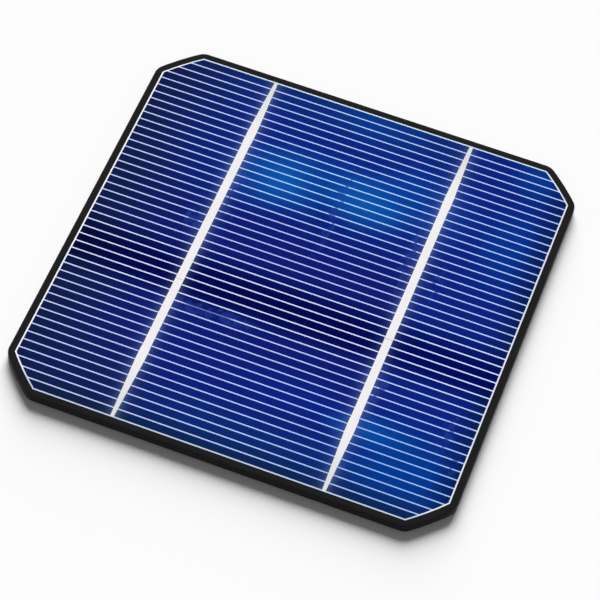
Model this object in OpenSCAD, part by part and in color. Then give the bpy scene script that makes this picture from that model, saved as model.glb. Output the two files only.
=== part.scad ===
// Framed monocrystalline solar cell.
// X runs along the fine printed lines, Y along the busbars and Z up out of the
// blue front. The origin is at the middle of the face that the frame rests on.

/* [Wafer] */
// Side of the square that the wafer is cut to
wafer_side = 125; // [118:0.5:140]
// Diameter of the ingot, which leaves the wafer its four round corners
ingot_d = 163.5; // [142:0.5:176]
// Thickness of the wafer
wafer_t = 0.2; // [0.15:0.01:0.5]

/* [Front print] */
// Width of the line that runs round the print
perimeter_w = 0.4; // [0.2:0.05:1]
// Number of fine lines between the two ends of the perimeter line
finger_count = 44; // [20:1:70]
// Width of a fine line
finger_w = 0.35; // [0.1:0.05:0.8]
// Height of the fine lines and the perimeter line above the wafer
finger_h = 0.03; // [0.01:0.005:0.08]
// Bare strip between the frame's lip and the perimeter line
print_gap = 0.05; // [0.02:0.01:0.5]

/* [Busbars] */
// Distance between the centre lines of the two busbars
busbar_pitch = 59.5; // [40:0.5:80]
// Width of a busbar along its middle stretch
busbar_w = 2.35; // [1:0.05:4]
// Width of a busbar's tip at the perimeter line
busbar_tip_w = 0.95; // [0.5:0.05:2]
// Width of the shoulder that the tapered end widens to
busbar_shoulder_w = 2.55; // [2:0.05:5]
// Length of the taper from the tip to the shoulder
busbar_taper_l = 20; // [5:0.5:30]
// Length of the shoulder
busbar_shoulder_l = 4; // [1:0.5:10]
// Height of a busbar above the fine lines that it bridges
busbar_rise = 0.03; // [0.01:0.005:0.1]

/* [Rear print] */
// Bare strip round the aluminium field, measured from the wafer's edge
rear_margin = 1.2; // [0.5:0.1:5]
// Thickness of the rear print
rear_h = 0.04; // [0.02:0.005:0.1]
// Length of a row of soldering pads from end to end
pad_row_l = 104; // [60:1:108]
// Number of soldering pads in each row
pad_count = 5; // [1:1:8]
// Gap between neighbouring pads of a row
pad_gap = 6; // [1:0.5:8]
// Width of a soldering pad
pad_w = 3.6; // [2:0.1:8]

/* [Edge frame] */
// Height of the frame from its foot to the top of its lip
frame_h = 2.8; // [1.6:0.1:6]
// Width of the frame outside the wafer's edge
frame_wall = 1; // [0.6:0.1:3]
// How far the lip laps over the wafer's front
lip_w = 1; // [0.5:0.1:3]
// Height of the lip above the wafer's front
lip_h = 0.1; // [0.08:0.02:0.6]
// How far the ledge reaches under the wafer's rear
ledge_w = 3; // [1:0.1:5]
// Radius of the turn between a straight side and a corner, seen from above
corner_r = 4; // [1.5:0.5:8]
// Radius along the frame's outer edges
edge_r = 0.4; // [0.1:0.05:0.6]

/* [Hidden] */
$fn = 96;

// How far a cutting solid runs past the face that it cuts
cut_past = 1;
// How far a turn's disc stands out of the faces that it meets
turn_bleed = 0.01;

// Levels, from the foot of the frame
front_z = frame_h - lip_h;
rear_z = front_z - wafer_t;
rear_print_z = rear_z - rear_h;

// Outside of the frame, and the height at which a side meets the long arc of a corner
frame_half = wafer_side / 2 + frame_wall;
frame_r = ingot_d / 2 + frame_wall;
meet_y = sqrt(frame_r * frame_r - frame_half * frame_half);

// Centre of a turn, which touches the side and the arc
turn_x = frame_half - corner_r;
turn_y = sqrt(pow(frame_r - corner_r, 2) - turn_x * turn_x);

// Inset of the perimeter line's outer edge, and the size of the line's centre
print_inset = lip_w + print_gap;
line_half = wafer_side / 2 - print_inset - perimeter_w / 2;
line_r = ingot_d / 2 - print_inset - perimeter_w / 2;

// Fine lines share the height of the perimeter line evenly
finger_pitch = 2 * line_half / (finger_count + 1);

// Busbars end at the outside of the perimeter line
busbar_h = finger_h + busbar_rise;
busbar_half_l = wafer_side / 2 - print_inset;
shoulder_y = busbar_half_l - busbar_taper_l;

// Pads share the length of their row evenly
pad_l = (pad_row_l - (pad_count - 1) * pad_gap) / pad_count;
pad_pitch = pad_l + pad_gap;

// Half length at which a fine line meets the middle of the perimeter line
function finger_half_l(y) = min(line_half, sqrt(line_r * line_r - y * y));

// Wafer outline moved inwards by a distance
module cell_outline(inset) {
    intersection() {
        square(wafer_side - 2 * inset, center = true);
        circle(d = ingot_d - 2 * inset);
    }
}

// Slab with the wafer's outline, between two levels
module cell_slab(inset, low, high) {
    translate([0, 0, low])
        linear_extrude(high - low)
            cell_outline(inset);
}

// Section of the frame's outer edge, from a middle line out to its reach
module edge_section(reach, height) {
    square([reach - edge_r, height]);
    translate([0, edge_r])
        square([reach, height - 2 * edge_r]);
    for (z = [edge_r, height - edge_r])
        translate([reach - edge_r, z])
            circle(edge_r);
}

// Solid bar with that section on both sides, longer than the frame
module round_bar() {
    rotate([90, 0, 0])
        linear_extrude(4 * frame_half, center = true) {
            edge_section(frame_half, frame_h);
            mirror([1, 0])
                edge_section(frame_half, frame_h);
        }
}

// Turned disc with that section
module round_disc(radius, height) {
    rotate_extrude()
        edge_section(radius, height);
}

// Waste outside a turn, where a straight side meets the long arc of a corner
module turn_waste() {
    difference() {
        translate([frame_half, meet_y, -cut_past])
            cylinder(r = meet_y - turn_y, h = frame_h + 2 * cut_past);
        translate([turn_x, turn_y, -turn_bleed])
            round_disc(corner_r + turn_bleed, frame_h + 2 * turn_bleed);
    }
}

// Outside of the frame as one solid block: sides, long corner arcs and eight turns
module frame_block() {
    difference() {
        intersection() {
            round_bar();
            rotate(90)
                round_bar();
            round_disc(frame_r, frame_h);
        }
        for (side = [0:90:270])
            rotate(side) {
                turn_waste();
                mirror([0, 1, 0])
                    turn_waste();
            }
    }
}

module edge_frame() {
    color("#232323")
        difference() {
            frame_block();
            cell_slab(0, rear_z, front_z);
            cell_slab(rear_margin, rear_print_z, rear_z);
            cell_slab(lip_w, rear_z, frame_h + cut_past);
            cell_slab(ledge_w, -cut_past, front_z);
        }
}

module silicon_wafer() {
    color("#14246f")
        cell_slab(0, rear_z, front_z);
}

// Outline of the front print: the perimeter line and the fine lines inside it
module grid_outline() {
    difference() {
        cell_outline(print_inset);
        cell_outline(print_inset + perimeter_w);
    }
    for (i = [1:finger_count]) {
        y = i * finger_pitch - line_half;
        translate([0, y])
            square([2 * finger_half_l(y), finger_w], center = true);
    }
}

module finger_grid() {
    color("#c9d0e8")
        translate([0, 0, front_z])
            linear_extrude(finger_h)
                grid_outline();
}

// Edge of a busbar's quarter, from its middle stretch to its tip
busbar_edge = [
    [busbar_w / 2, shoulder_y - busbar_shoulder_l],
    [busbar_shoulder_w / 2, shoulder_y - busbar_shoulder_l],
    [busbar_shoulder_w / 2, shoulder_y],
    [busbar_tip_w / 2, busbar_half_l],
];

// Outline of a busbar: that edge, turned and mirrored into the other quarters
module busbar_outline() {
    last = len(busbar_edge) - 1;
    polygon(concat(
        [for (p = busbar_edge) p],
        [for (i = [last:-1:0]) [-busbar_edge[i].x, busbar_edge[i].y]],
        [for (p = busbar_edge) -p],
        [for (i = [last:-1:0]) [busbar_edge[i].x, -busbar_edge[i].y]]
    ));
}

// Busbar printed over the fine lines, with grooves where it bridges them
module busbar(x) {
    color("#ebe8e1")
        difference() {
            translate([x, 0, front_z])
                linear_extrude(busbar_h)
                    busbar_outline();
            finger_grid();
        }
}

module busbar_left() {
    busbar(-busbar_pitch / 2);
}

module busbar_right() {
    busbar(busbar_pitch / 2);
}

// Row of soldering pads behind a busbar
module pad_row(x) {
    for (i = [0:pad_count - 1])
        translate([x, (i - (pad_count - 1) / 2) * pad_pitch])
            square([pad_w, pad_l], center = true);
}

module rear_field() {
    color("#8d8f91")
        translate([0, 0, rear_print_z])
            linear_extrude(rear_h)
                difference() {
                    cell_outline(rear_margin);
                    pad_row(-busbar_pitch / 2);
                    pad_row(busbar_pitch / 2);
                }
}

module rear_pads(x) {
    color("#d5d3cc")
        translate([0, 0, rear_print_z])
            linear_extrude(rear_h)
                pad_row(x);
}

module rear_pads_left() {
    rear_pads(-busbar_pitch / 2);
}

module rear_pads_right() {
    rear_pads(busbar_pitch / 2);
}

edge_frame();
silicon_wafer();
finger_grid();
busbar_left();
busbar_right();
rear_field();
rear_pads_left();
rear_pads_right();
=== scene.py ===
import math
import bpy
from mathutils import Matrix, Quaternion, Vector


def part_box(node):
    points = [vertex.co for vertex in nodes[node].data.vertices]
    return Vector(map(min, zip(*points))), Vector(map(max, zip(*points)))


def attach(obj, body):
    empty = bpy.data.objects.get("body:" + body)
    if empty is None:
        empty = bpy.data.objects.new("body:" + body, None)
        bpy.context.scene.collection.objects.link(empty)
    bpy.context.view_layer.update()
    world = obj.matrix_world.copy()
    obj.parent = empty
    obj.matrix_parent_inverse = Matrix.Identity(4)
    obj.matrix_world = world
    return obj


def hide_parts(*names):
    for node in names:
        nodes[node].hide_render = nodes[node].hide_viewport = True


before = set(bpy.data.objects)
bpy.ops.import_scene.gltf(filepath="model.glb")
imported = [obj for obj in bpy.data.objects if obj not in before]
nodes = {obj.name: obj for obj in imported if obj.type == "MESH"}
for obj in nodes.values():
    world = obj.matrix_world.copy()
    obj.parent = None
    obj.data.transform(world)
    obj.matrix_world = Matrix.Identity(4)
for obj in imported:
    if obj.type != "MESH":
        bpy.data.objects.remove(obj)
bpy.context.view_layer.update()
scene = bpy.context.scene
scene.view_settings.view_transform = "Standard"
millimetre = 0.001
print("cell loaded with", len(nodes), "solids")


# small steps that the finishes below are put together from

def fromScreen(red, green, blue):  # 0-255 screen colour to the linear one that shaders take
    def oneChannel(value):
        value = value / 255
        return value / 12.92 if value <= 0.04045 else ((value + 0.055) / 1.055) ** 2.4
    return (oneChannel(red), oneChannel(green), oneChannel(blue), 1.0)


def screenTones(look):  # the colours among a look's values, as shaders take them
    return {name: fromScreen(*value) for name, value in look.items()
            if isinstance(value, tuple) and len(value) == 3}


def startFinish(name):
    finish = bpy.data.materials.new(name)
    finish.use_nodes = True
    tree = finish.node_tree
    tree.nodes.clear()
    output = tree.nodes.new("ShaderNodeOutputMaterial")
    shader = tree.nodes.new("ShaderNodeBsdfPrincipled")
    tree.links.new(shader.outputs["BSDF"], output.inputs["Surface"])
    return finish, tree, shader


def feed(tree, socket, value):
    if isinstance(value, bpy.types.NodeSocket):
        tree.links.new(value, socket)
    else:
        socket.default_value = value


def addMath(tree, operation, first, second=0.0, clamp=False):
    step = tree.nodes.new("ShaderNodeMath")
    step.operation = operation
    step.use_clamp = clamp
    feed(tree, step.inputs[0], first)
    feed(tree, step.inputs[1], second)
    return step.outputs[0]


def addVector(tree, operation, first, second=(0, 0, 0)):
    step = tree.nodes.new("ShaderNodeVectorMath")
    step.operation = operation
    feed(tree, step.inputs[0], first)
    feed(tree, step.inputs[1], second)
    return step.outputs["Value"] if operation == "LENGTH" else step.outputs["Vector"]


def addFade(tree, value, start, end, low=0.0, high=1.0):  # soft step, low at start and high at end
    step = tree.nodes.new("ShaderNodeMapRange")
    step.interpolation_type = "SMOOTHSTEP"
    for socket, number in zip(step.inputs[:5], (value, start, end, low, high)):
        feed(tree, socket, number)
    return step.outputs[0]


def addTint(tree, share, under, over, blend="MIX"):
    step = tree.nodes.new("ShaderNodeMix")
    step.data_type = "RGBA"
    step.blend_type = blend
    feed(tree, step.inputs[0], share)
    feed(tree, step.inputs[6], under)
    feed(tree, step.inputs[7], over)
    return step.outputs[2]


def addShade(tree, colour, tint, value, start, end, most=1.0):  # tint that fades in from start to end
    return addTint(tree, addFade(tree, value, start, end, 0.0, most), colour, tint)


def newNoise(tree, spot, scale, detail, roughness):
    step = tree.nodes.new("ShaderNodeTexNoise")
    feed(tree, step.inputs["Vector"], spot)
    step.inputs["Scale"].default_value = scale
    step.inputs["Detail"].default_value = detail
    step.inputs["Roughness"].default_value = roughness
    return step


def addNoise(tree, spot, scale, detail=2.0, roughness=0.5):
    return newNoise(tree, spot, scale, detail, roughness).outputs[0]


def addWander(tree, spot, scale, detail, reach):  # place moved to and fro by slow noise, in X and Y
    noise = newNoise(tree, spot, scale, detail, 0.5)
    sway = addVector(tree, "SUBTRACT", noise.outputs["Color"], (0.5, 0.5, 0.5))
    return addVector(tree, "ADD", spot, addVector(tree, "MULTIPLY", sway, (*reach, 0)))


def addSpot(tree, unit):  # place on the cell, counted in units
    place = tree.nodes.new("ShaderNodeTexCoord")
    return addVector(tree, "DIVIDE", place.outputs["Object"], (unit, unit, unit))


def addParts(tree, spot):  # how far along X, Y and Z a place is
    step = tree.nodes.new("ShaderNodeSeparateXYZ")
    feed(tree, step.inputs[0], spot)
    return step.outputs


def addPatch(tree, spot, middle, reach):  # soft oval, 1 in the middle and 0 at its reach
    off = addVector(tree, "SUBTRACT", spot, (*middle, 0))
    flat = addVector(tree, "MULTIPLY", off, (1 / reach[0], 1 / reach[1], 0))
    return addFade(tree, addVector(tree, "LENGTH", flat), 1.0, 0.0)


def addRoughness(tree, shader, grain, smooth, rough):  # follows the same grain as the colour or bump
    feed(tree, shader.inputs["Roughness"], addFade(tree, grain, 0.2, 0.8, smooth, rough))


def addBump(tree, shader, height, strength, depth):
    step = tree.nodes.new("ShaderNodeBump")
    step.inputs["Strength"].default_value = strength
    step.inputs["Distance"].default_value = depth
    feed(tree, step.inputs["Height"], height)
    tree.links.new(step.outputs["Normal"], shader.inputs["Normal"])


def dress(piece, finish):
    piece.data.materials.clear()
    piece.data.materials.append(finish)


# black edge frame: five walls cut from rounds, bridged into a channel

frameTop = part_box("edge_frame")[1]
waferFoot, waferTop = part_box("silicon_wafer")
rearFoot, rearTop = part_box("rear_field")
blackFrame = dict(
    sideHalf=frameTop.x, cornerRadius=0.08275,  # outside of the frame
    lipInset=0.002, ledgeInset=0.004,  # how far its lip and ledge reach in
    pocketInset=frameTop.x - waferTop.x, stepInset=frameTop.x - rearTop.x,  # seats of wafer and rear print
    lipTop=frameTop.z, waferTop=waferTop.z, waferFoot=waferFoot.z, printFoot=rearFoot.z,
    roundSteps=120,
    turnReach=0.00145, turnSteps=6,
    edgeRound=0.0004, edgeSteps=5,
    lipRound=0.00004, lipSteps=2, ledgeRound=0.0002, ledgeSteps=3,
    smoothAngle=35,
    lean=0.0001,  # rims start this far off level, so that bridge can tell which way they run
    # side: painted light, the side walls get a lighter tone than the top to stand for how light falls on them
    body=(10, 11, 13), worn=(15, 16, 18), side=(37, 36, 33),
    paintedLightTop=2.3, paintedLightFoot=2.0,  # millimetres up from the foot, where the side's tone fades in: painted light, the side walls lighter than the top
    grain=0.00022, grainDepth=0.00001, grainBump=0.35, cloudScale=0.12,
    roughness=(0.44, 0.62), specular=0.13,
)
samePlace = 1e-6  # metres within which two places are one
nearPlace = 1e-5  # the same after a bevel
onRound = 5e-5  # how near a rim's points lie to its round
turnDepth = 0.0004  # how far a rounded turn lies inside the sharp outline, at most


def addWall(inset, low, high):
    half = blackFrame["sideHalf"] - inset
    radius = blackFrame["cornerRadius"] - inset
    bpy.ops.object.select_all(action="DESELECT")
    bpy.ops.mesh.primitive_circle_add(
        vertices=blackFrame["roundSteps"], radius=radius, fill_type="NGON", location=(0, 0, low))
    bpy.ops.object.transform_apply(location=True, rotation=True, scale=True)
    bpy.ops.object.mode_set(mode="EDIT")
    for side in ((1, 0, 0), (-1, 0, 0), (0, 1, 0), (0, -1, 0)):  # cut the four straight sides
        bpy.ops.mesh.select_all(action="SELECT")
        bpy.ops.mesh.bisect(
            plane_co=Vector(side) * half, plane_no=side, clear_outer=True, threshold=samePlace)
    bpy.ops.mesh.select_all(action="SELECT")
    bpy.ops.mesh.delete(type="ONLY_FACE")
    bpy.ops.mesh.select_all(action="SELECT")
    bpy.ops.mesh.extrude_region_move(TRANSFORM_OT_translate={"value": (0, 0, high - low)})
    bpy.ops.object.mode_set(mode="OBJECT")
    return bpy.context.object


def pickEdges(piece, wanted):  # select the edges that pass
    bpy.ops.object.mode_set(mode="EDIT")
    bpy.ops.mesh.select_mode(type="EDGE")
    bpy.ops.mesh.select_all(action="DESELECT")
    bpy.ops.object.mode_set(mode="OBJECT")
    spots = [v.co for v in piece.data.vertices]
    for edge in piece.data.edges:
        first, second = (spots[i] for i in edge.vertices)
        edge.select = wanted(first, second)
    bpy.ops.object.mode_set(mode="EDIT")


def onRim(inset, height):  # test for an edge that runs round a wall's rim
    radius = blackFrame["cornerRadius"] - inset

    def fits(point):
        fromRound = abs(math.hypot(point.x, point.y) - radius)
        return abs(point.z - height) < samePlace and fromRound < onRound
    return lambda first, second: fits(first) and fits(second)


def onOutside(height):  # test for an edge of the outer rim, turns included
    def fits(point):
        depth = min(blackFrame["sideHalf"] - max(abs(point.x), abs(point.y)),
                    blackFrame["cornerRadius"] - math.hypot(point.x, point.y))
        return abs(point.z - height) < nearPlace and depth < turnDepth
    return lambda first, second: fits(first) and fits(second)


def isTurn(first, second):  # upright outer edge between a side and a corner
    fromSide = abs(max(abs(first.x), abs(first.y)) - blackFrame["sideHalf"])
    return fromSide < nearPlace and (first.xy - second.xy).length < samePlace


def roundEdges(piece, wanted, reach, steps):
    pickEdges(piece, wanted)
    bpy.ops.mesh.bevel(offset=reach, segments=steps, affect="EDGES")


def makeEdgeFrame():
    shape = blackFrame
    lean = shape["lean"]
    outside = (0, 0, shape["lipTop"] + lean)  # inset, foot and top of each wall
    lip = (shape["lipInset"], shape["waferTop"], shape["lipTop"])
    pocket = (shape["pocketInset"], shape["waferFoot"] - lean, shape["waferTop"] + lean)
    step = (shape["stepInset"], shape["printFoot"], shape["waferFoot"])
    ledge = (shape["ledgeInset"], lean, shape["printFoot"] - lean)
    walls = [addWall(*wall) for wall in (outside, lip, pocket, step, ledge)]
    bpy.ops.object.select_all(action="DESELECT")
    for wall in walls:
        wall.select_set(True)
    bpy.context.view_layer.objects.active = walls[0]
    bpy.ops.object.join()
    piece = walls[0]
    piece.name = "blackEdgeFrame"
    bands = [  # rims that a flat face joins: lip top, lip underside, two ledge levels, foot
        (onRim(outside[0], outside[2]), onRim(lip[0], lip[2])),
        (onRim(lip[0], lip[1]), onRim(pocket[0], pocket[2])),
        (onRim(pocket[0], pocket[1]), onRim(step[0], step[2])),
        (onRim(step[0], step[1]), onRim(ledge[0], ledge[2])),
        (onRim(ledge[0], ledge[1]), onRim(outside[0], outside[1])),
    ]
    for firstRim, secondRim in bands:
        pickEdges(piece, lambda a, b: firstRim(a, b) or secondRim(a, b))
        bpy.ops.mesh.bridge_edge_loops()
    leaning = [  # inset and height of each rim off level, and its true level
        (outside[0], outside[2], shape["lipTop"]),
        (pocket[0], pocket[2], shape["waferTop"]),
        (pocket[0], pocket[1], shape["waferFoot"]),
        (ledge[0], ledge[2], shape["printFoot"]),
        (ledge[0], ledge[1], 0),
    ]
    for inset, height, level in leaning:
        pickEdges(piece, onRim(inset, height))
        bpy.ops.transform.translate(value=(0, 0, level - height))
    bpy.ops.mesh.select_all(action="SELECT")
    bpy.ops.mesh.normals_make_consistent(inside=False)
    topRim = onOutside(shape["lipTop"])
    footRim = onOutside(0)
    roundEdges(piece, isTurn, shape["turnReach"], shape["turnSteps"])
    roundEdges(piece, lambda a, b: topRim(a, b) or footRim(a, b), shape["edgeRound"], shape["edgeSteps"])
    roundEdges(piece, onRim(lip[0], shape["lipTop"]), shape["lipRound"], shape["lipSteps"])
    roundEdges(piece, onRim(ledge[0], 0), shape["ledgeRound"], shape["ledgeSteps"])
    bpy.ops.object.mode_set(mode="OBJECT")
    bpy.ops.object.shade_smooth_by_angle(angle=math.radians(shape["smoothAngle"]))
    bpy.ops.object.modifier_add(type="WEIGHTED_NORMAL")
    piece.modifiers[-1].keep_sharp = True
    bpy.ops.object.modifier_apply(modifier=piece.modifiers[-1].name)
    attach(piece, "root")
    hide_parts("edge_frame")
    return piece


def makeMouldedBlack():
    finish, tree, shader = startFinish("mouldedBlack")
    look = blackFrame
    tone = screenTones(look)
    spot = addSpot(tree, millimetre)
    fromFoot = addParts(tree, spot)["Z"]
    grain = addNoise(tree, spot, millimetre / look["grain"], detail=3.0, roughness=0.6)
    cloud = addNoise(tree, spot, look["cloudScale"])
    colour = addShade(tree, tone["body"], tone["worn"], cloud, 0.3, 0.7)
    # painted light: the side walls below the top are lighter than the top face
    colour = addShade(tree, colour, tone["side"], fromFoot, look["paintedLightTop"], look["paintedLightFoot"])
    feed(tree, shader.inputs["Base Color"], colour)
    addRoughness(tree, shader, grain, *look["roughness"])
    shader.inputs["Specular IOR Level"].default_value = look["specular"]
    addBump(tree, shader, grain, look["grainBump"], look["grainDepth"])
    return finish


edgeFrame = makeEdgeFrame()
dress(edgeFrame, makeMouldedBlack())
print("edge frame modelled:", len(edgeFrame.data.polygons), "faces")


# places where the front is rubbed: the fine lines break off and the coating is smeared

rubbedLook = dict(
    spots=[  # middle and reach of each place, in millimetres
        ((1.9, 28.0), (1.2, 19.0)),
        ((25.2, 19.5), (1.3, 14.0)),
        ((36.0, 11.5), (1.3, 7.0)),
        ((-18.5, -20.6), (13.0, 2.3)),
        ((-34.0, 7.0), (2.2, 4.2)),
        ((-26.6, 19.5), (0.9, 11.0)),
        ((32.6, -26.2), (1.2, 5.5)),
        ((54.4, -33.0), (1.5, 8.0)),
        ((58.6, -40.5), (1.2, 4.5)),
    ],
    wander=(9.0, 2.25), wanderPitch=5.0,  # how far a place strays, and over what length
    edge=(0.15, 0.6),  # how high its soft oval is where it starts and where it is full
    bare=(34, 56, 142), bareReflection=(34, 96, 178), bareShare=0.8,
    smear=(36, 66, 158), smearShare=0.45, smearReach=1.7, smearScale=0.55, smearEdge=(0.4, 0.62),
)
rubbedTone = screenTones(rubbedLook)


def addRubbed(tree, spot, widen=1.0):  # 1 where the front is rubbed, spot in millimetres
    look = rubbedLook
    strayed = addWander(tree, spot, 1 / look["wanderPitch"], 2.0, look["wander"])
    mask = 0.0
    for middle, reach in look["spots"]:
        oval = addPatch(tree, strayed, middle, (reach[0] * widen, reach[1] * widen))
        mask = addMath(tree, "MAXIMUM", mask, oval)
    return addFade(tree, mask, *look["edge"])


# blue coating over the etched silicon; most places are in halves of the printed field

perimeterWidth = 0.0004
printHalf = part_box("finger_grid")[1].x - perimeterWidth / 2  # out to the middle of the perimeter line
busbarAt = sum(corner.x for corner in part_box("busbar_right")) / 2 / millimetre
coatingLook = dict(
    middle=(14, 26, 112),
    reflectionShades=[  # long shades laid over it, painted reflections that also stand for the coating's uneven tint: along X or Y, where each fades in, and its tint
        ("Y", (0.12, 0.42), (10, 35, 126)),
        ("Y", (0.76, 1.0), (11, 41, 117)),
        ("Y", (-0.4, -0.6), (14, 29, 119)),
        ("X", (0.4, 0.64), (10, 33, 125)),
    ],
    foot=(10, 42, 115), footFrom=(-0.66, -0.92),
    footAcross=(-0.75, -0.1),  # the foot has its own shade only away from the left
    leftEdge=(15, 27, 70), leftEdgeFrom=(-0.42, -1.05),
    reflectionPatches=[  # painted reflections that also stand for the coating's uneven tint: middle, reach, tint and share of each lighter or duller patch
        ((-0.27, 0.48), (0.32, 0.25), (9, 84, 171), 1.0),
        ((0.02, 0.57), (0.34, 0.17), (7, 64, 154), 0.85),
        ((0.17, 0.51), (0.29, 0.21), (9, 84, 169), 1.0),
        ((0.31, 0.63), (0.28, 0.22), (3, 64, 158), 0.8),
        ((0.49, 0.58), (0.25, 0.28), (10, 55, 145), 0.8),
        ((0.82, 0.51), (0.18, 0.36), (2, 53, 143), 0.9),
        ((0.83, 0.93), (0.17, 0.2), (2, 57, 139), 0.9),
        ((0.03, 0.99), (0.34, 0.24), (6, 57, 141), 0.9),
        ((0.25, -0.6), (0.4, 0.16), (9, 35, 132), 0.8),
        ((0.78, -0.78), (0.42, 0.36), (1, 59, 144), 0.95),
        ((0.57, -0.64), (0.27, 0.12), (3, 74, 159), 0.9),
        ((-0.66, -0.9), (0.5, 0.5), (16, 30, 77), 0.7),
    ],
    driftScale=3.1, drift=(0.16, 0.12),  # slow wander, so that no shade or patch has a drawn edge
    footEdge=(11, 36, 82), footLeft=(16, 31, 68), footEdgeFrom=(-0.86, -1.0),
    rightEdge=(6, 29, 84), rightEdgeFrom=(0.86, 1.02),
    bandTop=(0.03, -0.17), bandFoot=(-0.375, -0.22),  # where the dark band, a painted reflection, fades in
    bandLeft=(0, 7, 54), bandLeftFrom=(-0.6, -1.0), bandMiddle=(0, 4, 75),
    bandRight=(0, 9, 90), bandRightFrom=(0.28, 0.5),
    busbarGlow=(98, 116, 158), glowReach=1.0,  # painted glow beside the busbars, in millimetres
    glowShare=0.46, glowInBand=0.23, glowScale=9.0, glowUneven=(0.75, 1.1),
    busbarHalf=1.22, tipHalf=0.5, taperFrom=41, taperTo=61,  # busbar that the painted glow lies beside
    etchScale=420.0, etchShade=(0.88, 1.12), etchBump=0.2, etchDepth=0.00001,
    cloudScale=26.0, cloudShade=(0.95, 1.05),
    roughness=(0.3, 0.44), specular=0.02,
)


def addBusbarGlow(tree, spot, place, reflectionBand):  # painted pale glow that dies away from the busbars, weaker in the painted reflection band
    look = coatingLook
    part = addParts(tree, place)
    along = addMath(tree, "ABSOLUTE", part["Y"])
    barHalf = addFade(tree, along, look["taperFrom"], look["taperTo"], look["busbarHalf"], look["tipHalf"])
    fromMiddle = addMath(tree, "ABSOLUTE", part["X"])
    fromBar = addMath(tree, "ABSOLUTE", addMath(tree, "SUBTRACT", fromMiddle, busbarAt))
    gap = addMath(tree, "MAXIMUM", addMath(tree, "SUBTRACT", fromBar, barHalf), 0.0)
    glow = addMath(tree, "EXPONENT", addMath(tree, "DIVIDE", gap, -look["glowReach"]))
    share = addFade(tree, reflectionBand, 0.0, 1.0, look["glowShare"], look["glowInBand"])
    uneven = addFade(tree, addNoise(tree, spot, look["glowScale"]), 0.3, 0.7, *look["glowUneven"])
    return addMath(tree, "MULTIPLY", addMath(tree, "MULTIPLY", glow, share), uneven)


def makeBlueCoating():
    finish, tree, shader = startFinish("blueCoating")
    look = coatingLook
    tone = screenTones(look)
    spot = addSpot(tree, printHalf)
    part = addParts(tree, spot)
    x = part["X"]
    y = part["Y"]
    drift = addWander(tree, spot, look["driftScale"], 3.0, look["drift"])
    driftPart = addParts(tree, drift)
    # long painted reflection shades from edge to edge
    colour = tone["middle"]
    for axis, fadesIn, tint in look["reflectionShades"]:
        colour = addShade(tree, colour, fromScreen(*tint), driftPart[axis], *fadesIn)
    fromLeft = addFade(tree, x, *look["footAcross"])
    foot = addMath(tree, "MULTIPLY", addFade(tree, driftPart["Y"], *look["footFrom"]), fromLeft)
    colour = addTint(tree, foot, colour, tone["foot"])
    colour = addShade(tree, colour, tone["leftEdge"], driftPart["X"], *look["leftEdgeFrom"])
    # painted reflection patches, then the darker edges at the foot and on the right
    for middle, reach, tint, share in look["reflectionPatches"]:
        patch = addMath(tree, "MULTIPLY", addPatch(tree, drift, middle, reach), share)
        colour = addTint(tree, patch, colour, fromScreen(*tint))
    footTint = addTint(tree, fromLeft, tone["footLeft"], tone["footEdge"])
    colour = addShade(tree, colour, footTint, y, *look["footEdgeFrom"])
    colour = addShade(tree, colour, tone["rightEdge"], x, *look["rightEdgeFrom"])
    # painted reflection: dark band along the fine lines
    reflectionBand = addMath(tree, "MULTIPLY", addFade(tree, y, *look["bandTop"]), addFade(tree, y, *look["bandFoot"]))
    reflectionBandTint = addShade(tree, tone["bandMiddle"], tone["bandLeft"], x, *look["bandLeftFrom"])
    reflectionBandTint = addShade(tree, reflectionBandTint, tone["bandRight"], x, *look["bandRightFrom"])
    colour = addTint(tree, reflectionBand, colour, reflectionBandTint)
    place = addSpot(tree, millimetre)
    # painted glow beside the busbars
    colour = addTint(tree, addBusbarGlow(tree, spot, place, reflectionBand), colour, tone["busbarGlow"])
    # smears round the rubbed places
    rubbed = addRubbed(tree, place, rubbedLook["smearReach"])
    smear = addMath(tree, "MULTIPLY", rubbed, rubbedLook["smearShare"])
    blot = addNoise(tree, place, rubbedLook["smearScale"], detail=3.0, roughness=0.6)
    smear = addMath(tree, "MULTIPLY", smear, addFade(tree, blot, *rubbedLook["smearEdge"]))
    colour = addTint(tree, smear, colour, rubbedTone["smear"])
    # fine grain of the etched surface
    etch = addNoise(tree, spot, look["etchScale"], roughness=0.7)
    cloud = addNoise(tree, spot, look["cloudScale"], detail=3.0, roughness=0.6)
    etchShade = addFade(tree, etch, 0.2, 0.8, *look["etchShade"])
    cloudShade = addFade(tree, cloud, 0.25, 0.75, *look["cloudShade"])
    shade = addMath(tree, "MULTIPLY", etchShade, cloudShade)
    grey = tree.nodes.new("ShaderNodeCombineColor")
    for socket in grey.inputs:
        feed(tree, socket, shade)
    colour = addTint(tree, 1.0, colour, grey.outputs[0], "MULTIPLY")
    feed(tree, shader.inputs["Base Color"], colour)
    addRoughness(tree, shader, etch, *look["roughness"])
    shader.inputs["Specular IOR Level"].default_value = look["specular"]
    addBump(tree, shader, etch, look["etchBump"], look["etchDepth"])
    return finish


dress(nodes["silicon_wafer"], makeBlueCoating())
print("blue coating laid")


# front silver: fine lines, perimeter line and busbars

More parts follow.
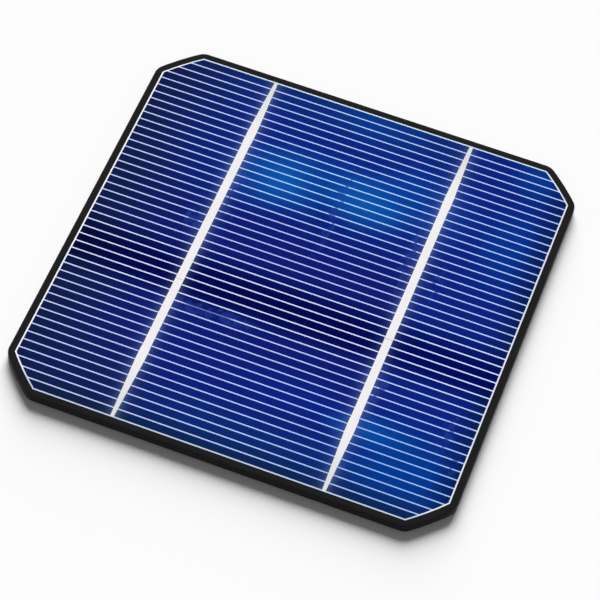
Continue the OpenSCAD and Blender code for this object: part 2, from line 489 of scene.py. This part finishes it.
lineLook = dict(
    line=(186, 208, 255), left=(198, 213, 255), leftFrom=(-0.3, -0.8),
    azureReflection=(168, 219, 255), azureAt=((-0.02, 0.5), (0.62, 0.34)),  # middle and reach of each tinted place; these tints are painted reflections that follow the coating's
    violet=(186, 201, 255), violetAt=((0.0, 0.1), (0.6, 0.26)),
    footBlue=(152, 190, 254), footBlueAt=((0.68, -0.78), (0.75, 0.42)),
    reflectionBand=(222, 234, 255), bandTop=(0.06, -0.12), bandFoot=(-0.42, -0.26),  # brighter in the dark band, painted reflection
    perimeter=(251, 252, 254), perimeterTopShade=(226, 243, 255),
    perimeterFootShade=(198, 209, 230), perimeterRightShade=(227, 232, 241),
    shadedSideFrom=0.9, shadedSideFull=0.98,  # where the perimeter line takes the tone of a side: painted shade, the top, right and foot sides darker than the left
    cornerAt=0.0805, rimFrom=(0.995, 0.997),  # middle of the perimeter line at the corners, and its inside
    paste=(126, 134, 160), pasteScale=700.0, pasteFrom=(0.55, 0.8), pasteShare=0.15,
    pasteBump=0.3, pasteDepth=0.000006,
    roughness=(0.36, 0.52), metallic=0.35,
)


def makeLineSilver():
    finish, tree, shader = startFinish("lineSilver")
    look = lineLook
    tone = screenTones(look)
    spot = addSpot(tree, printHalf)
    part = addParts(tree, spot)
    x = part["X"]
    y = part["Y"]
    colour = addShade(tree, tone["line"], tone["left"], x, *look["leftFrom"])
    # painted reflections on the fine lines: azure, violet and bluer places
    azureReflection = addPatch(tree, spot, *look["azureAt"])
    colour = addTint(tree, azureReflection, colour, tone["azureReflection"])
    for name in ("violet", "footBlue"):
        colour = addTint(tree, addPatch(tree, spot, *look[name + "At"]), colour, tone[name])
    # painted reflection: the fine lines are brighter in the dark band
    reflectionBand = addMath(tree, "MULTIPLY", addFade(tree, y, *look["bandTop"]), addFade(tree, y, *look["bandFoot"]))
    colour = addTint(tree, reflectionBand, colour, tone["reflectionBand"])
    # broken where the front is rubbed
    rubbed = addRubbed(tree, addSpot(tree, millimetre))
    # the bare coating takes the painted azure reflection inside its place
    bare = addTint(tree, azureReflection, rubbedTone["bare"], rubbedTone["bareReflection"])
    colour = addTint(tree, addMath(tree, "MULTIPLY", rubbed, rubbedLook["bareShare"]), colour, bare)
    # the perimeter line is thicker print
    flat = addVector(tree, "MULTIPLY", spot, (1, 1, 0))
    toCorner = addMath(tree, "DIVIDE", addVector(tree, "LENGTH", flat), look["cornerAt"] / printHalf)
    toSide = addMath(tree, "MAXIMUM", addMath(tree, "ABSOLUTE", x), addMath(tree, "ABSOLUTE", y))
    rim = addFade(tree, addMath(tree, "MAXIMUM", toSide, toCorner), *look["rimFrom"])
    # painted shade: each side of the perimeter line gets its own tone, darkest on the foot
    near = look["shadedSideFrom"]
    full = look["shadedSideFull"]
    rimShadeTint = addShade(tree, tone["perimeter"], tone["perimeterRightShade"], x, near, full)
    rimShadeTint = addShade(tree, rimShadeTint, tone["perimeterTopShade"], y, near, full)
    rimShadeTint = addShade(tree, rimShadeTint, tone["perimeterFootShade"], y, -near, -full)
    colour = addTint(tree, rim, colour, rimShadeTint)
    # uneven paste
    paste = addNoise(tree, spot, look["pasteScale"], roughness=0.7)
    colour = addShade(tree, colour, tone["paste"], paste, *look["pasteFrom"], look["pasteShare"])
    feed(tree, shader.inputs["Base Color"], colour)
    addRoughness(tree, shader, paste, *look["roughness"])
    shader.inputs["Metallic"].default_value = look["metallic"]
    addBump(tree, shader, paste, look["pasteBump"], look["pasteDepth"])
    return finish


busbarLook = dict(  # places in millimetres
    silver=(242, 240, 242), speck=(218, 216, 218), speckScale=2.6, speckFrom=(0.52, 0.72), speckShare=0.6,
    dragFrom=(0.5, 0.75), dragShare=0.35, dragStretch=(2.2, 0.12),  # streaks that the squeegee left
    tip=(222, 224, 223), tipFrom=(42.0, 58.0),
    seam=(150, 150, 150), seamAt=(-13.5, -10.1), seamEdge=(0.12, 0.048), seamShare=0.8,
    bump=0.3, bumpDepth=0.00001,
    roughness=(0.42, 0.62), metallic=0.25,
)


def makeBusbarSilver():
    finish, tree, shader = startFinish("busbarSilver")
    look = busbarLook
    tone = screenTones(look)
    spot = addSpot(tree, millimetre)
    part = addParts(tree, spot)
    speck = addNoise(tree, spot, look["speckScale"], detail=4.0, roughness=0.75)
    stretched = addVector(tree, "MULTIPLY", spot, (*look["dragStretch"], 1))
    drag = addNoise(tree, stretched, 1.0, detail=3.0)
    colour = addShade(tree, tone["silver"], tone["speck"], speck, *look["speckFrom"], look["speckShare"])
    colour = addShade(tree, colour, tone["speck"], drag, *look["dragFrom"], look["dragShare"])
    colour = addShade(tree, colour, tone["tip"], addMath(tree, "ABSOLUTE", part["Y"]), *look["tipFrom"])
    # hairline across each busbar
    seamAt = addFade(tree, part["X"], -1.0, 1.0, *look["seamAt"])
    fromSeam = addMath(tree, "ABSOLUTE", addMath(tree, "SUBTRACT", part["Y"], seamAt))
    seam = addFade(tree, fromSeam, *look["seamEdge"])
    colour = addTint(tree, addMath(tree, "MULTIPLY", seam, look["seamShare"]), colour, tone["seam"])
    feed(tree, shader.inputs["Base Color"], colour)
    addRoughness(tree, shader, speck, *look["roughness"])
    shader.inputs["Metallic"].default_value = look["metallic"]
    height = addMath(tree, "SUBTRACT", addMath(tree, "ADD", speck, drag), seam)
    addBump(tree, shader, height, look["bump"], look["bumpDepth"])
    return finish


dress(nodes["finger_grid"], makeLineSilver())
busbarSilver = makeBusbarSilver()
for side in ("busbar_left", "busbar_right"):
    dress(nodes[side], busbarSilver)
print("front silver printed")


# rear print: aluminium field and soldering pads

rearFieldLook = dict(
    field=(150, 151, 152), dark=(122, 123, 126),
    gritScale=3.2, gritFrom=(0.35, 0.75), gritShare=0.6,
    cloudScale=0.06, cloudFrom=(0.35, 0.7), cloudShare=0.5,
    meshPitch=0.0006, meshHeight=0.25,  # print of the screen's mesh
    bump=0.5, bumpDepth=0.00002,
    roughness=(0.55, 0.75), metallic=0.3,
)


def makeRearAluminium():
    finish, tree, shader = startFinish("rearAluminium")
    look = rearFieldLook
    tone = screenTones(look)
    spot = addSpot(tree, millimetre)
    part = addParts(tree, spot)
    grit = addNoise(tree, spot, look["gritScale"], detail=4.0, roughness=0.8)
    cloud = addNoise(tree, spot, look["cloudScale"], detail=4.0, roughness=0.6)
    turn = 2 * math.pi * millimetre / look["meshPitch"]
    wave = [addMath(tree, "SINE", addMath(tree, "MULTIPLY", part[axis], turn)) for axis in "XY"]
    weave = addMath(tree, "MULTIPLY", wave[0], wave[1])
    gritDark = addFade(tree, grit, *look["gritFrom"], 0.0, look["gritShare"])
    cloudDark = addFade(tree, cloud, *look["cloudFrom"], 0.0, look["cloudShare"])
    share = addMath(tree, "ADD", gritDark, cloudDark, clamp=True)
    feed(tree, shader.inputs["Base Color"], addTint(tree, share, tone["field"], tone["dark"]))
    addRoughness(tree, shader, grit, *look["roughness"])
    shader.inputs["Metallic"].default_value = look["metallic"]
    height = addMath(tree, "ADD", grit, addMath(tree, "MULTIPLY", weave, look["meshHeight"]))
    addBump(tree, shader, height, look["bump"], look["bumpDepth"])
    return finish


rearPadLook = dict(
    pad=(214, 210, 200),
    tarnish=(186, 176, 158), tarnishScale=0.22, tarnishFrom=(0.45, 0.75), tarnishShare=0.8,
    speck=(150, 146, 138), speckScale=3.4, speckFrom=(0.55, 0.8), speckShare=0.35,
    bump=0.3, bumpDepth=0.000008,
    roughness=(0.36, 0.5), metallic=0.4,
)


def makeRearSilver():
    finish, tree, shader = startFinish("rearSilver")
    look = rearPadLook
    tone = screenTones(look)
    spot = addSpot(tree, millimetre)
    tarnish = addNoise(tree, spot, look["tarnishScale"], detail=3.0)
    speck = addNoise(tree, spot, look["speckScale"], detail=3.0, roughness=0.7)
    colour = addShade(tree, tone["pad"], tone["tarnish"], tarnish, *look["tarnishFrom"], look["tarnishShare"])
    colour = addShade(tree, colour, tone["speck"], speck, *look["speckFrom"], look["speckShare"])
    feed(tree, shader.inputs["Base Color"], colour)
    addRoughness(tree, shader, speck, *look["roughness"])
    shader.inputs["Metallic"].default_value = look["metallic"]
    addBump(tree, shader, speck, look["bump"], look["bumpDepth"])
    return finish


dress(nodes["rear_field"], makeRearAluminium())
rearSilver = makeRearSilver()
for side in ("rear_pads_left", "rear_pads_right"):
    dress(nodes[side], rearSilver)
print("rear printed")


# studio: pale floor, one broad soft light, white surround

studioLook = dict(
    floorSize=4.0, floorTone=0.97,
    sunStrength=6.7, sunElevation=24, sunAzimuth=15, sunSpread=44,  # from the back, a little from the left
    ambient=0.14,
)


def makeFloor():
    look = studioLook
    bpy.ops.object.select_all(action="DESELECT")
    bpy.ops.mesh.primitive_plane_add(size=look["floorSize"], location=(0, 0, 0))
    floor = bpy.context.object
    floor.name = "paleFloor"
    finish, tree, shader = startFinish("paleFloorFinish")
    tone = look["floorTone"]
    shader.inputs["Base Color"].default_value = (tone, tone, tone, 1)
    shader.inputs["Roughness"].default_value = 1.0
    shader.inputs["Specular IOR Level"].default_value = 0.0
    dress(floor, finish)


def makeLight():
    look = studioLook
    lamp = bpy.data.lights.new("broadKey", "SUN")
    lamp.energy = look["sunStrength"]
    lamp.angle = math.radians(look["sunSpread"])
    key = bpy.data.objects.new("broadKey", lamp)
    scene.collection.objects.link(key)
    up = math.radians(look["sunElevation"])
    around = math.radians(look["sunAzimuth"])
    toLight = Vector((-math.sin(around) * math.cos(up), math.cos(around) * math.cos(up), math.sin(up)))
    key.location = toLight
    key.visible_glossy = False  # polished faces mirror the surround alone
    key.rotation_euler = toLight.to_track_quat("Z", "Y").to_euler()


def makeSurround():
    world = bpy.data.worlds.new("whiteSurround")
    scene.world = world
    world.use_nodes = True
    tree = world.node_tree
    tree.nodes.clear()
    output = tree.nodes.new("ShaderNodeOutputWorld")
    rays = tree.nodes.new("ShaderNodeLightPath")
    seen = addMath(tree, "MAXIMUM", rays.outputs["Is Camera Ray"], rays.outputs["Is Glossy Ray"])
    seen = addMath(tree, "MAXIMUM", seen, rays.outputs["Is Transmission Ray"])
    sky = tree.nodes.new("ShaderNodeBackground")
    sky.inputs["Color"].default_value = (1, 1, 1, 1)
    feed(tree, sky.inputs["Strength"], addMath(tree, "MAXIMUM", seen, studioLook["ambient"]))
    tree.links.new(sky.outputs["Background"], output.inputs["Surface"])


# camera where the photograph was taken from

cameraLook = dict(
    place=(0.1134, -0.40415, 0.59817), aim=(0.00301, -0.00711, 0.00251),
    lens=159.53, sensor=36, roll=5.96,
    nearest=0.01, farthest=20,
)


def makeCamera():
    look = cameraLook
    view = bpy.data.cameras.new("photoView")
    view.sensor_width = look["sensor"]
    view.lens = look["lens"]
    view.clip_start = look["nearest"]
    view.clip_end = look["farthest"]
    camera = bpy.data.objects.new("photoView", view)
    scene.collection.objects.link(camera)
    place = Vector(look["place"])
    turn = (Vector(look["aim"]) - place).to_track_quat("-Z", "Y")
    camera.location = place
    camera.rotation_euler = (turn @ Quaternion((0, 0, 1), math.radians(look["roll"]))).to_euler()
    scene.camera = camera


makeFloor()
makeLight()
makeSurround()
makeCamera()
print("studio and camera set")
